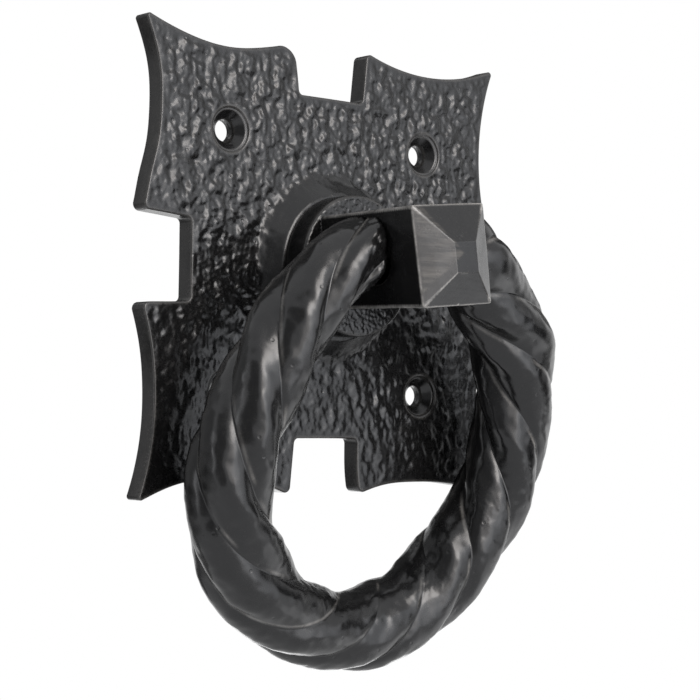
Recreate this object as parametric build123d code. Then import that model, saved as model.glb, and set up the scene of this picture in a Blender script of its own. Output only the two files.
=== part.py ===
from build123d import *
import os
from math import acos, cos, degrees, pi, radians, sin, sqrt, tan

# Ring pull in black cast iron: a lobed backplate, a post that stands in it, and a twisted ring.
# Millimetres. Every piece is drawn facing +Z with +Y up, then turned to hang on a wall:
# +Z up, the wall in the plane y = 0, and the pull standing out towards -Y.

# Backplate: a square with hollow edges and a notch in the middle of each side
PLATE_SIZE = 99.4
PLATE_THICK = 4.7
TIP_REACH = 1.0
EDGE_HOLLOW = 3.9
NOTCH_MOUTH = 20.6
NOTCH_FLOOR = 18.2
NOTCH_DEPTH = 11.9
CORNER_ROUND = 0.7
SOFT_CORNER_ROUND = 3.4
FRONT_EDGE_ROUND = 0.5
BACK_EDGE_ROUND = 0.5

# Screw holes in the four lobes
SCREW_SPACING = 56.0
SCREW_HOLE_RADIUS = 2.4
SCREW_HEAD_RADIUS = 4.85
SCREW_HEAD_ANGLE = 90.0

# Round seat that the plate raises under the post, hollow behind
SEAT_FOOT_RADIUS = 20.4
SEAT_TOP_RADIUS = 16.0
SEAT_RISE = 3.85
SEAT_FOOT_ROUND = 1.2
SEAT_WALL = 2.8
RECESS_RADIUS = 13.0

# Post: round flange, square block with a hipped end, and a shank riveted behind the plate
FLANGE_RADIUS = 15.5
FLANGE_THICK = 6.0
FLANGE_EDGE_ROUND = 0.7
BLOCK_WIDTH = 20.0
BLOCK_LENGTH = 30.0
BLOCK_RISE = 1.0
BLOCK_EDGE_ROUND = 0.5
HIP_RISE = 3.4
HIP_TOP = 6.4
SHANK_RADIUS = 6.0
SHANK_CLEARANCE = 0.15
END_FLOAT = 0.15
WASHER_RADIUS = 11.0
WASHER_THICK = 1.5
WASHER_CLEARANCE = 0.1
RIVET_HEAD_RADIUS = 7.6
RIVET_HEAD_THICK = 1.8
RIVET_HEAD_ROUND = 1.2
POST_TURN = 5.5

# Ring: an open oval of four twisted strands, hung on two pintles in the block's cross bore
PIVOT_REACH = 31.35
PINTLE_RADIUS = 4.2
PINTLE_CLEARANCE = 1.0
PINTLE_LENGTH = 7.5
RING_SIDE_GAP = 1.2
RING_HALF_WIDTH = 39.8
RING_HALF_HEIGHT = 43.0
RING_DROP = 40.7
STRAND_COUNT = 4
STRAND_RADIUS = 6.0
STRAND_OFFSET = 3.4
TWIST_PITCH = 77.6
TWIST_START = 22.0
TIGHT_TURN = 46.0
TIGHT_START = 100.0
TIGHT_LENGTH = 45.0
LEFT_TAPER_LENGTH = 68.0
LEFT_TAPER = 0.86
LEFT_SET_IN = 3.7
LEFT_TIP_DROP = 0.5
LEFT_TIP_BACK = 2.4
RIGHT_TAPER_LENGTH = 16.0
RIGHT_TAPER = 0.90
RING_TURN = 1.5
RING_TILT = 14.6

# Fineness of the twisted surface
SECTION_SPACING = 4.0

HALF_PLATE = PLATE_SIZE / 2
SEAT_TOP = PLATE_THICK + SEAT_RISE
RECESS_DEPTH = SEAT_TOP - SEAT_WALL
FLANGE_BACK = SEAT_TOP + END_FLOAT
FLANGE_FRONT = FLANGE_BACK + FLANGE_THICK
BLOCK_FRONT = FLANGE_FRONT + BLOCK_LENGTH
WASHER_BACK = RECESS_DEPTH - END_FLOAT - WASHER_THICK
RIVET_HEAD_BACK = WASHER_BACK - RIVET_HEAD_THICK
RING_END = BLOCK_WIDTH / 2 + RING_SIDE_GAP


def disc(radius, back, front):
    """Round solid on the Z axis between two heights."""
    return Pos(0, 0, (back + front) / 2) * Cylinder(radius, front - back)


def plate_side():
    """Edges of the plate's upper side, from its left tip to its right tip."""
    tip = HALF_PLATE + TIP_REACH
    mouth = NOTCH_MOUTH / 2
    floor = NOTCH_FLOOR / 2
    floor_height = HALF_PLATE - NOTCH_DEPTH
    arc_middle = (tip + mouth) / 2
    arc_height = (tip + HALF_PLATE) / 2 - EDGE_HOLLOW
    return [
        ThreePointArc((-tip, tip), (-arc_middle, arc_height), (-mouth, HALF_PLATE)),
        Polyline((-mouth, HALF_PLATE), (-floor, floor_height), (floor, floor_height), (mouth, HALF_PLATE)),
        ThreePointArc((mouth, HALF_PLATE), (arc_middle, arc_height), (tip, tip)),
    ]


def plate_outline():
    """Face of the backplate, with one corner cast softer than the others."""
    edges = []
    for turn in range(4):
        edges += [Rot(0, 0, -90 * turn) * edge for edge in plate_side()]
    outline = make_face(edges)
    soft = outline.vertices().sort_by_distance((-NOTCH_MOUTH / 2, HALF_PLATE))[0]
    outline = fillet(soft, SOFT_CORNER_ROUND)
    outer_reach = HALF_PLATE - NOTCH_DEPTH / 2
    crisp = [v for v in outline.vertices() if is_outer_corner(v, outer_reach)]
    return fillet(crisp, CORNER_ROUND)


def is_outer_corner(vertex, outer_reach):
    """True for a lobe's tip or its corner at a notch, and false for a notch floor or the soft corner."""
    on_soft_corner = abs(vertex.X + NOTCH_MOUTH / 2) < 2 * SOFT_CORNER_ROUND and vertex.Y > outer_reach
    return max(abs(vertex.X), abs(vertex.Y)) > outer_reach and not on_soft_corner


def screw_hole():
    """Countersunk hole through the plate, its wide end on the front face."""
    sink_depth = (SCREW_HEAD_RADIUS - SCREW_HOLE_RADIUS) / tan(radians(SCREW_HEAD_ANGLE / 2))
    sink = Pos(0, 0, PLATE_THICK - sink_depth / 2) * Cone(SCREW_HOLE_RADIUS, SCREW_HEAD_RADIUS, sink_depth)
    return disc(SCREW_HOLE_RADIUS, 0, PLATE_THICK) + sink


def make_backplate():
    """One casting: lobed plate, raised seat, recess behind the seat, bore and screw holes."""
    plate = extrude(plate_outline(), PLATE_THICK)
    plate = fillet(plate.faces().sort_by(Axis.Z)[-1].outer_wire().edges(), FRONT_EDGE_ROUND)
    plate = fillet(plate.faces().sort_by(Axis.Z)[0].outer_wire().edges(), BACK_EDGE_ROUND)
    seat = Pos(0, 0, PLATE_THICK + SEAT_RISE / 2) * Cone(SEAT_FOOT_RADIUS, SEAT_TOP_RADIUS, SEAT_RISE)
    plate += seat
    foot = plate.edges().filter_by(GeomType.CIRCLE).sort_by(Axis.Z)
    foot = [e for e in foot if abs(e.radius - SEAT_FOOT_RADIUS) < 0.01]
    plate = fillet(foot, SEAT_FOOT_ROUND)
    plate -= disc(RECESS_RADIUS, 0, RECESS_DEPTH)
    plate -= disc(SHANK_RADIUS + SHANK_CLEARANCE, 0, SEAT_TOP)
    for place in GridLocations(SCREW_SPACING, SCREW_SPACING, 2, 2):
        plate -= place * screw_hole()
    return plate


def make_post():
    """One casting: flange, block with its hipped end and cross bore, and the riveted shank."""
    flange = disc(FLANGE_RADIUS, FLANGE_BACK, FLANGE_FRONT)
    flange = fillet(flange.edges().sort_by(Axis.Z)[-1], FLANGE_EDGE_ROUND)
    foot = Pos(0, BLOCK_RISE, FLANGE_FRONT) * Rectangle(BLOCK_WIDTH, BLOCK_WIDTH)
    hip_foot = Pos(0, BLOCK_RISE, BLOCK_FRONT) * Rectangle(BLOCK_WIDTH, BLOCK_WIDTH)
    hip_top = Pos(0, BLOCK_RISE, BLOCK_FRONT + HIP_RISE) * Rectangle(HIP_TOP, HIP_TOP)
    block = extrude(foot, BLOCK_LENGTH) + loft([hip_foot, hip_top])
    block = fillet(block.edges().filter_by(Axis.Z), BLOCK_EDGE_ROUND)
    bore_radius = PINTLE_RADIUS + PINTLE_CLEARANCE
    block -= Pos(0, BLOCK_RISE, PIVOT_REACH) * Rot(0, 90, 0) * Cylinder(bore_radius, 2 * BLOCK_WIDTH)
    shank = disc(SHANK_RADIUS, WASHER_BACK, FLANGE_BACK)
    head = disc(RIVET_HEAD_RADIUS, RIVET_HEAD_BACK, WASHER_BACK)
    head = fillet(head.edges().sort_by(Axis.Z)[0], RIVET_HEAD_ROUND)
    return Rot(0, 0, POST_TURN) * (flange + block + shank + head)


def make_washer():
    """Plain washer between the plate's recess and the riveted end of the shank."""
    front = WASHER_BACK + WASHER_THICK
    return disc(WASHER_RADIUS, WASHER_BACK, front) - disc(SHANK_RADIUS + WASHER_CLEARANCE, WASHER_BACK, front)


def ring_path():
    """Open oval in the ring's own plane, its gap at the top and the pintle axis along X."""
    start_angle = degrees(acos((RING_END - RING_SIDE_GAP) / RING_HALF_WIDTH))
    arc_size = -180 - 2 * start_angle
    return EllipticalCenterArc(
        (0, -RING_DROP), RING_HALF_WIDTH, RING_HALF_HEIGHT, start_angle, arc_size=arc_size)


def strand_reach(angle):
    """Distance from the rope's middle to its surface, where angle 0 is the crest of a strand."""
    return STRAND_OFFSET * cos(angle) + sqrt(STRAND_RADIUS**2 - (STRAND_OFFSET * sin(angle))**2)


def swell(share):
    """Smooth rise from 0 at the start of a stretch to 1 at its end."""
    share = min(max(share, 0.0), 1.0)
    return share * share * (3 - 2 * share)


def rope_section(path, place):
    """Section of the rope at a place along the path, from 0 to 1: one arc for each strand.

    The left arm is slimmer than the right, dips inwards halfway along its taper, and ends a little
    nearer the wall.
    The strands are twisted tighter along a stretch at the ring's bottom.
    """
    length = place * path.length
    right = swell(length / RIGHT_TAPER_LENGTH)
    left = swell((path.length - length) / LEFT_TAPER_LENGTH)
    scale = (RIGHT_TAPER + (1 - RIGHT_TAPER) * right) * (LEFT_TAPER + (1 - LEFT_TAPER) * left)
    along = path % place
    outward = Vector(0, 0, 1).cross(along)
    set_in = LEFT_TIP_DROP * (1 - left) + LEFT_SET_IN * 4 * left * (1 - left)
    set_back = LEFT_TIP_BACK * (1 - left)
    middle = path @ place - outward * set_in - Vector(0, 0, set_back)
    plane = Plane(middle, x_dir=outward, z_dir=along)
    tight = TIGHT_TURN * swell((length - TIGHT_START) / TIGHT_LENGTH)
    twist = radians(TWIST_START - tight) - 2 * pi * length / TWIST_PITCH
    half_strand = pi / STRAND_COUNT
    crest = scale * strand_reach(0)
    groove = scale * strand_reach(half_strand)
    arcs = []
    for strand in range(STRAND_COUNT):
        turn = twist + 2 * strand * half_strand
        arcs.append(ThreePointArc(
            polar(groove, turn - half_strand), polar(crest, turn), polar(groove, turn + half_strand)))
    return plane * Face(Wire(arcs))


def polar(reach, angle):
    """Point at a distance and an angle from the middle of the rope."""
    return (reach * cos(angle), reach * sin(angle))


def make_ring():
    """Twisted ring with its two pintles, hung at its angle from the pintle axis."""
    path = ring_path()
    count = round(path.length / SECTION_SPACING)
    rope = loft([rope_section(path, step / count) for step in range(count + 1)])
    gap = Box(2 * RING_END, 4 * STRAND_RADIUS, 4 * STRAND_RADIUS)
    rope -= gap
    for side in (-1, 1):
        middle = side * (RING_END - PINTLE_LENGTH / 2)
        rope += Pos(middle, 0, 0) * Rot(0, 90, 0) * Cylinder(PINTLE_RADIUS, PINTLE_LENGTH)
    pivot = Rot(0, 0, POST_TURN) * Pos(0, BLOCK_RISE, PIVOT_REACH)
    return Pos(pivot.position) * Rot(0, 0, RING_TURN) * Rot(RING_TILT, 0, 0) * rope


def main():
    """Write one file per piece, turned from the drawing frame to the wall."""
    pieces = {
        "backplate": make_backplate(),
        "post": make_post(),
        "rivet_washer": make_washer(),
        "twisted_ring": make_ring(),
    }
    os.makedirs("parts", exist_ok=True)
    for name, piece in pieces.items():
        export_step(Plane.XZ.location * piece, f"parts/{name}.step")


if __name__ == "__main__":
    main()
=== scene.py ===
"""Looks of a ring pull in black cast iron: pebbled backplate, hipped post and twisted ring.

Every piece is drawn in millimetres, facing +Z with +Y up, and then turned to the wall as the frame has it:
+Z up, the wall in the plane y = 0, and the pull standing out towards -Y.
"""
import logging
import math
from dataclasses import dataclass
from enum import Enum
from typing import Callable

import bmesh
import bpy
import numpy as np
from mathutils import Matrix, Vector
from mathutils.geometry import delaunay_2d_cdt
from mathutils.kdtree import KDTree


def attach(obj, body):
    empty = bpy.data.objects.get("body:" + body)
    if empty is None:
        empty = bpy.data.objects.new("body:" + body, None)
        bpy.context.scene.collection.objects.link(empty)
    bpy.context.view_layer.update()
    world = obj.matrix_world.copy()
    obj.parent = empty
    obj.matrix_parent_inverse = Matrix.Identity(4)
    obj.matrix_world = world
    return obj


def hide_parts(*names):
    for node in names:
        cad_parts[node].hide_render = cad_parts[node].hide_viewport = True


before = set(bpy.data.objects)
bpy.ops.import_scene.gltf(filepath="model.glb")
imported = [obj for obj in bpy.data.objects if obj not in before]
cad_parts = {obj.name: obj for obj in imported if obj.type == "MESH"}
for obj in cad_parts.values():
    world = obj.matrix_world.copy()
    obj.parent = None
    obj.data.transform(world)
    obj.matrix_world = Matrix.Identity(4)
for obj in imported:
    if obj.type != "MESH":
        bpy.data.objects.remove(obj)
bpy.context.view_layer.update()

LOG = logging.getLogger("ring_pull")

# Width and height of the picture, in pixels
IMAGE_SIZE = 700

# Metres in a millimetre
MM = 0.001

# Watts of a square metre of lamp that shines at a level of 1
LAMP_WATTS = 4.0

# Distances in millimetres: points to weld, shortest step of a cut line, and points that are the same
WELD_MM = 0.004
SHORT_STEP = 0.02
SAME_PLACE = 1e-6

# How far a net of points keeps from its outline, as a share of its spacing, and how finely its triangles meet
NET_CLEAR = 0.6
NET_TOUCH = 1e-7

# Rows of points round a rounded edge
ROUND_ROWS = 6

# Bends, in degrees, at which an edge starts to get the painted edge highlight and at which it gets it fully
SOFT_BEND = 3.0
SHARP_BEND = 11.0

# Faces that look this squarely at the wall are shaded flat
FLAT_BACK = 0.999

WHITE = (1.0, 1.0, 1.0, 1.0)

# An input or an output of a node
Socket = bpy.types.NodeSocket


class Mark(Enum):
    """Names of the values that a mesh carries at each point."""

    RELIEF = "relief"
    GRAIN = "grain"
    SPINE = "spine"
    OUTWARD = "outward"
    TWIST = "twist"
    TAPER = "taper"
    PINTLE = "pintle"
    AROUND = "around"
    TRAVEL = "travel"
    TIP = "tip"
    # Painted highlight along outer edges and beside the ring's creases
    EDGE = "edge"
    SWELL = "swell"
    INNER_SWELL = "inner_swell"
    FILL = "fill"
    # Painted highlight streaks on the lit left hip facet
    STREAK_HIGHLIGHT = "filed"


class RingEnd(Enum):
    """The two ends of the open ring, by the side of the block that each one sits on."""

    LEFT = -1
    RIGHT = 1


def smooth_step(share: np.ndarray) -> np.ndarray:
    """Smooth rise from 0 to 1 of a share that is cut to that range."""
    share = np.clip(share, 0.0, 1.0)
    return share * share * (3.0 - 2.0 * share)


def fade(values: np.ndarray, start: float, length: float) -> np.ndarray:
    """Smooth rise from 0 to 1 that begins at a start and takes a length."""
    return smooth_step((values - start) / length)


def hump(away: np.ndarray, spread: float) -> np.ndarray:
    """Bell of height 1, by the distance from its middle."""
    return np.exp(-0.5 * (away / spread) ** 2)


def travel_along(run: np.ndarray) -> np.ndarray:
    """Distance of each point of a run from the run's start."""
    return np.concatenate([[0.0], np.cumsum(np.linalg.norm(np.diff(run, axis=0), axis=1))])


def quarter_round(radius: float) -> list:
    """How far in and how far down each row of a rounded edge lies, from its side up to its top."""
    bends = np.linspace(0.0, math.pi / 2, ROUND_ROWS)
    return [(radius * (1 - math.cos(bend)), radius * (1 - math.sin(bend))) for bend in bends]


def arc_run(start: tuple, middle: tuple, end: tuple, spacing: float) -> np.ndarray:
    """Points of the arc through three points.

    Args:
        start: first point of the arc.
        middle: a point on the arc.
        end: last point of the arc.
        spacing: distance between neighbouring points.

    Returns:
        The points, both ends included.
    """
    a, b, c = (complex(*point) for point in (start, middle, end))
    w = (c - a) / (b - a)
    centre = (b - a) * (w - abs(w) ** 2) / (2j * w.imag) + a
    radius = abs(a - centre)
    begin = np.angle(a - centre)
    sweep = np.angle((c - centre) / (a - centre))
    count = max(2, math.ceil(radius * abs(sweep) / spacing))
    angles = begin + sweep * np.linspace(0.0, 1.0, count + 1)
    return np.column_stack([centre.real + radius * np.cos(angles), centre.imag + radius * np.sin(angles)])


def line_run(start: tuple, end: tuple, spacing: float) -> np.ndarray:
    """Points of a straight run, both ends included."""
    start, end = np.asarray(start, float), np.asarray(end, float)
    count = max(2, math.ceil(np.linalg.norm(end - start) / spacing))
    return start + (end - start) * np.linspace(0.0, 1.0, count + 1)[:, None]


def circle_loop(radius: float, count: int, centre: tuple = (0.0, 0.0)) -> np.ndarray:
    """Points of a circle, counted anticlockwise."""
    angles = np.linspace(0.0, 2.0 * math.pi, count, endpoint=False)
    return np.column_stack([centre[0] + radius * np.cos(angles), centre[1] + radius * np.sin(angles)])


def cut_run(run: np.ndarray, before: float, after: float) -> np.ndarray:
    """The run without a length at its start and a length at its end."""
    travel = travel_along(run)
    inner = travel[(travel > before + SHORT_STEP) & (travel < travel[-1] - after - SHORT_STEP)]
    places = np.concatenate([[before], inner, [travel[-1] - after]])
    return np.column_stack([np.interp(places, travel, run[:, axis]) for axis in range(2)])


def rounded_line(runs: list, rounds: list, spacing: float, closed: bool) -> np.ndarray:
    """Join runs end to end and round each corner between two of them.

    Args:
        runs: arrays of points, each starting where the one before ends.
        rounds: radius of the corner at the start of each run.
        spacing: distance between neighbouring points of a rounded corner.
        closed: whether the last run ends where the first one starts.

    Returns:
        The points of the whole line, with no point twice.
    """
    trims, turns = [], []
    for index, run in enumerate(runs):
        into = complex(*(runs[index - 1][-1] - runs[index - 1][-2]))
        out = complex(*(run[1] - run[0]))
        turns.append(float(np.angle(out / into)))
        trims.append(rounds[index] * math.tan(abs(turns[-1]) / 2.0) if closed or index else 0.0)
    points = []
    for index, run in enumerate(runs):
        last = index == len(runs) - 1
        after = trims[(index + 1) % len(runs)] if closed or not last else 0.0
        body = cut_run(run, trims[index], after)
        if trims[index] > 0.0:
            begin = points[-1][-1] if points else cut_run(runs[-1], 0.0, trims[0])[-1]
            count = max(4, math.ceil(2.0 * trims[index] / spacing))
            swing = np.exp(1j * turns[index] * np.linspace(0.0, 1.0, count + 1)[1:-1])
            share = (swing - 1.0) / (np.exp(1j * turns[index]) - 1.0)
            bend = complex(*begin) + complex(*(body[0] - begin)) * share
            points.append(np.column_stack([bend.real, bend.imag]))
        points.append(body)
    joined = np.concatenate(points)
    keep = np.linalg.norm(joined - np.roll(joined, 1, axis=0), axis=1) > SAME_PLACE
    keep[0] = keep[0] if closed else True
    return joined[keep]


def inset_loop(loop: np.ndarray, distance: float) -> np.ndarray:
    """A closed loop, clockwise or anticlockwise, moved into its own inside by a distance."""
    area = 0.5 * np.sum(loop[:, 0] * np.roll(loop[:, 1], -1) - np.roll(loop[:, 0], -1) * loop[:, 1])
    step = np.roll(loop, -1, axis=0) - loop
    step /= np.linalg.norm(step, axis=1)[:, None]
    side = np.column_stack([-step[:, 1], step[:, 0]]) * np.sign(area)
    mitre = side + np.roll(side, 1, axis=0)
    mitre /= (1.0 + np.sum(side * np.roll(side, 1, axis=0), axis=1))[:, None]
    return loop + mitre * distance


def inside_loop(loop: np.ndarray, points: np.ndarray) -> np.ndarray:
    """Whether each point lies inside a closed loop."""
    inside = np.zeros(len(points), bool)
    for (x0, y0), (x1, y1) in zip(loop, np.roll(loop, -1, axis=0)):
        spans = (y0 > points[:, 1]) != (y1 > points[:, 1])
        rise = y1 - y0 if y1 != y0 else 1.0
        inside ^= spans & (points[:, 0] < x0 + (points[:, 1] - y0) * (x1 - x0) / rise)
    return inside


def at_height(loop: np.ndarray, height: float) -> np.ndarray:
    """A flat loop lifted to one height."""
    return np.column_stack([loop, np.full(len(loop), height)])


def lathe_rows(profile: list, count: int, centre: tuple = (0.0, 0.0)) -> list:
    """Circles about an axis, one for each radius and height of a turned profile."""
    return [at_height(circle_loop(radius, count, centre), height) for radius, height in profile]


def point_tree(points: np.ndarray) -> KDTree:
    """Search tree of flat points."""
    tree = KDTree(len(points))
    for index, point in enumerate(points):
        tree.insert((point[0], point[1], 0.0), index)
    tree.balance()
    return tree


def link(name: str, content: bpy.types.ID) -> bpy.types.Object:
    """A new object of the scene, at the origin."""
    thing = bpy.data.objects.new(name, content)
    bpy.context.scene.collection.objects.link(thing)
    return thing


def weld(mesh: bpy.types.Mesh, measure: Callable = None) -> np.ndarray:
    """Join points that lie together and turn every face outward.

    Args:
        mesh: mesh to change.
        measure: function of the welded surface, or nothing.

    Returns:
        What the function measured.
    """
    work = bmesh.new()
    work.from_mesh(mesh)
    bmesh.ops.remove_doubles(work, verts=work.verts, dist=WELD_MM * MM)
    bmesh.ops.recalc_face_normals(work, faces=work.faces)
    measured = measure(work) if measure else None
    work.to_mesh(mesh)
    work.free()
    return measured


class Skin:
    """Patches of one closed surface, welded into a mesh at the end."""

    def __init__(self) -> None:
        """Start with no patch."""
        self.points: list = []
        self.faces: list = []
        self.count = 0

    def add(self, points: np.ndarray, faces: list) -> None:
        """Add a patch of points and faces that count from the patch's own first point."""
        self.points.append(points)
        self.faces += [[index + self.count for index in face] for face in faces]
        self.count += len(points)

    def strip(self, loops: list) -> None:
        """Join closed loops of equally many points, one after the other.

        Args:
            loops: arrays of points in space.
        """
        around = len(loops[0])
        faces = []
        for row in range(len(loops) - 1):
            for index in range(around):
                after = (index + 1) % around
                faces.append([row * around + index, row * around + after,
                              (row + 1) * around + after, (row + 1) * around + index])
        self.add(np.concatenate(loops), faces)

    def close(self, loop: np.ndarray) -> None:
        """Close a small round loop with a fan about its middle."""
        around = len(loop)
        fan = [[index, (index + 1) % around, around] for index in range(around)]
        self.add(np.vstack([loop, loop.mean(axis=0)]), fan)

    def panel(self, outer: np.ndarray, inner: list, spacing: float, place: Callable,
              guides: list = ()) -> None:
        """Fill a flat outline with an even net of triangles and put it in place.

        Args:
            outer: outline of the panel, in the panel's own plane.
            inner: outlines of its holes.
            spacing: distance between neighbouring points.
            place: function from points of the plane to points in space.
            guides: rows of points inside the outline that the net keeps.
        """
        loops = [outer, *inner]
        edge_points = np.concatenate([*loops, *guides])
        tree = point_tree(edge_points)
        low, high = outer.min(axis=0), outer.max(axis=0)
        rise = spacing * math.sqrt(0.75)
        clear = NET_CLEAR * spacing
        net = []
        for row, level in enumerate(np.arange(low[1], high[1], rise)):
            shift = 0.5 * spacing * (row % 2)
            net += [(x, level) for x in np.arange(low[0] + shift, high[0], spacing)]
        net = np.array([point for point in net if tree.find((*point, 0.0))[2] > clear]).reshape(-1, 2)
        keep = inside_loop(outer, net)
        for loop in inner:
            keep &= ~inside_loop(loop, net)
        coords = [Vector(point) for point in (*edge_points, *net[keep])]
        edges = []
        first = 0
        for loop in loops:
            edges += [(first + index, first + (index + 1) % len(loop)) for index in range(len(loop))]
            first += len(loop)
        triangles_inside = 1
        flat, _, faces, *_ = delaunay_2d_cdt(coords, edges, [], triangles_inside, NET_TOUCH)
        flat = np.array([tuple(point) for point in flat])
        middles = np.array([flat[face].mean(axis=0) for face in faces])
        open_face = np.zeros(len(faces), bool)
        for loop in inner:
            open_face |= inside_loop(loop, middles)
        self.add(place(flat), [list(face) for face, is_open in zip(faces, open_face) if not is_open])

    def to_object(self, name: str) -> bpy.types.Object:
        """Weld the patches and turn them to the wall.

        Args:
            name: name of the new object.

        Returns:
            A mesh object at the origin, in metres, in the frame's axes.
        """
        mesh = bpy.data.meshes.new(name)
        mesh.from_pydata(to_wall(np.concatenate(self.points)), [], self.faces)
        # The outer-edge bends become the mask of the painted edge highlight
        set_mark(mesh, Mark.EDGE, weld(mesh, sharp_bends))
        return link(name, mesh)


def sharp_bends(work: bmesh.types.BMesh) -> np.ndarray:
    """How much each point lies on an outer edge, from 0 on a flat or hollow place to 1."""
    work.verts.index_update()
    bends = np.zeros(len(work.verts))
    for seam in work.edges:
        if len(seam.link_faces) == 2:
            bend = seam.calc_face_angle_signed(0.0)
            for corner in seam.verts:
                bends[corner.index] = max(bends[corner.index], bend)
    return fade(np.degrees(bends), SOFT_BEND, SHARP_BEND - SOFT_BEND)


def to_wall(points: np.ndarray) -> np.ndarray:
    """Turn points from the drawing, in millimetres, to the frame, in metres."""
    return np.column_stack([points[:, 0], -points[:, 2], points[:, 1]]) * MM


def own_points(mesh: bpy.types.Mesh) -> np.ndarray:
    """A mesh's points as they are, in millimetres."""
    flat = np.empty(len(mesh.vertices) * 3)
    mesh.vertices.foreach_get("co", flat)
    return flat.reshape(-1, 3) / MM


def drawn_points(mesh: bpy.types.Mesh) -> tuple:
    """The three coordinates of a mesh's points turned back to the drawing, in millimetres."""
    x, y, z = own_points(mesh).T
    return x, z, -y


def set_mark(mesh: bpy.types.Mesh, mark: Mark, values: np.ndarray) -> None:
    """Store one value or one vector at each point of a mesh."""
    vector = values.ndim == 2
    attribute = mesh.attributes.new(mark.value, "FLOAT_VECTOR" if vector else "FLOAT", "POINT")
    attribute.data.foreach_set("vector" if vector else "value", values.astype(np.float32).ravel())


def keep_edge_highlight(mesh: bpy.types.Mesh, share: np.ndarray) -> None:
    """Keep only a share of the painted edge highlight at each point."""
    edge = mesh.attributes[Mark.EDGE.value].data
    bends = np.empty(len(share), np.float32)
    edge.foreach_get("value", bends)
    edge.foreach_set("value", (bends * share).astype(np.float32))


def flatten_back(mesh: bpy.types.Mesh) -> None:
    """Shade the faces that look squarely at the wall as flat ones."""
    normals = np.empty(3 * len(mesh.polygons), np.float32)
    mesh.polygons.foreach_get("normal", normals)
    mesh.polygons.foreach_set("use_smooth", normals[1::3] < FLAT_BACK)


class NodeTree:
    """Short calls for adding and joining the nodes of one tree."""

    def __init__(self, tree: bpy.types.NodeTree) -> None:
        """Work on a tree."""
        self.tree = tree

    def add(self, kind: str, inputs: dict = None, **settings) -> bpy.types.Node:
        """Add a node.

        Args:
            kind: the node's type name.
            inputs: socket name or number to a value, or to another node's output.
            settings: the node's own properties.

        Returns:
            The new node.
        """
        node = self.tree.nodes.new(kind)
        for name, value in settings.items():
            setattr(node, name, value)
        for key, value in (inputs or {}).items():
            self.feed(node.inputs[key], value)
        return node

    def feed(self, socket: Socket, value) -> None:
        """Link an output to a socket, or set the socket's own value."""
        if isinstance(value, Socket):
            self.tree.links.new(value, socket)
        else:
            socket.default_value = value

    def math(self, operation: str, *values) -> Socket:
        """Output of a Math node."""
        return self.add("ShaderNodeMath", dict(enumerate(values)), operation=operation).outputs[0]

    def times(self, first, second) -> Socket:
        """Product of two numbers."""
        return self.math("MULTIPLY", first, second)

    def plus(self, first, second) -> Socket:
        """Sum of two numbers."""
        return self.math("ADD", first, second)

    def less(self, first, second) -> Socket:
        """Difference of two numbers."""
        return self.math("SUBTRACT", first, second)

    def vector_math(self, operation: str, *values) -> Socket:
        """Output of a Vector Math node."""
        return self.add("ShaderNodeVectorMath", dict(enumerate(values)), operation=operation).outputs[0]

    def scaled(self, vector: Socket, amount) -> Socket:
        """A vector times a number."""
        inputs = {"Vector": vector, "Scale": amount}
        return self.add("ShaderNodeVectorMath", inputs, operation="SCALE").outputs[0]

    def joined(self, *parts) -> Socket:
        """A vector of three numbers."""
        return self.add("ShaderNodeCombineXYZ", dict(enumerate(parts))).outputs[0]

    def ramp(self, value, start: float, end: float, low: float = 0.0, high: float = 1.0) -> Socket:
        """Straight rise from a low to a high level while a value goes from a start to an end."""
        inputs = {"Value": value, "From Min": start, "From Max": end, "To Min": low, "To Max": high}
        return self.add("ShaderNodeMapRange", inputs).outputs[0]

    def noise(self, vector: Socket, size, detail: float, roughness: float = 0.5) -> Socket:
        """Noise about 0, mostly from -0.5 to 0.5, whose broadest bumps have about one size."""
        scale = self.math("DIVIDE", 1.0, size) if isinstance(size, Socket) else 1.0 / size
        inputs = {"Vector": vector, "Scale": scale, "Detail": detail, "Roughness": roughness}
        return self.less(self.add("ShaderNodeTexNoise", inputs).outputs["Fac"], 0.5)

    def stored(self, mark: Mark, vector: bool = False) -> Socket:
        """A value that the mesh of a geometry tree carries at each point."""
        kind = "FLOAT_VECTOR" if vector else "FLOAT"
        return self.add("GeometryNodeInputNamedAttribute", {"Name": mark.value}, data_type=kind).outputs[0]

    def store(self, shape: Socket, mark: Mark, value) -> Socket:
        """A shape that carries one more value at each point."""
        inputs = {"Geometry": shape, "Name": mark.value, "Value": value}
        node = self.add("GeometryNodeStoreNamedAttribute", inputs, data_type="FLOAT", domain="POINT")
        return node.outputs[0]

    def shown(self, mark: Mark) -> Socket:
        """A value that the mesh under a material carries."""
        return self.add("ShaderNodeAttribute", attribute_name=mark.value).outputs["Fac"]

    def blend(self, share: Socket, first, second) -> Socket:
        """A share of the way from one colour to another."""
        mix = self.add("ShaderNodeMix", {"Factor": share}, data_type="RGBA")
        first_color, second_color = mix.inputs[6:8]
        self.feed(first_color, first)
        self.feed(second_color, second)
        return mix.outputs[2]

    def group(self, name: str, fill: Callable, inputs: dict) -> bpy.types.Node:
        """Node of a shader group, whose tree a function fills the first time."""
        tree = bpy.data.node_groups.get(name)
        if tree is None:
            tree = bpy.data.node_groups.new(name, "ShaderNodeTree")
            fill(tree)
        return self.add("ShaderNodeGroup", inputs, node_tree=tree)

    def glow(self, level: float) -> Socket:
        """A white light of one level."""
        return self.add("ShaderNodeEmission", {"Color": WHITE, "Strength": level}).outputs[0]

    def looked_at(self) -> Socket:
        """1 for rays that look straight, in a reflection or through glass, and 0 for the rest."""
        rays = self.add("ShaderNodeLightPath").outputs
        seen = self.math("MAXIMUM", rays["Is Camera Ray"], rays["Is Glossy Ray"])
        return self.math("MAXIMUM", seen, rays["Is Transmission Ray"])


def add_sockets(tree: bpy.types.NodeTree, way: str, kind: str, *names: str) -> None:
    """Give a tree named sockets of one kind, in or out."""
    for name in names:
        tree.interface.new_socket(name, in_out=way, socket_type="NodeSocket" + kind)


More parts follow.
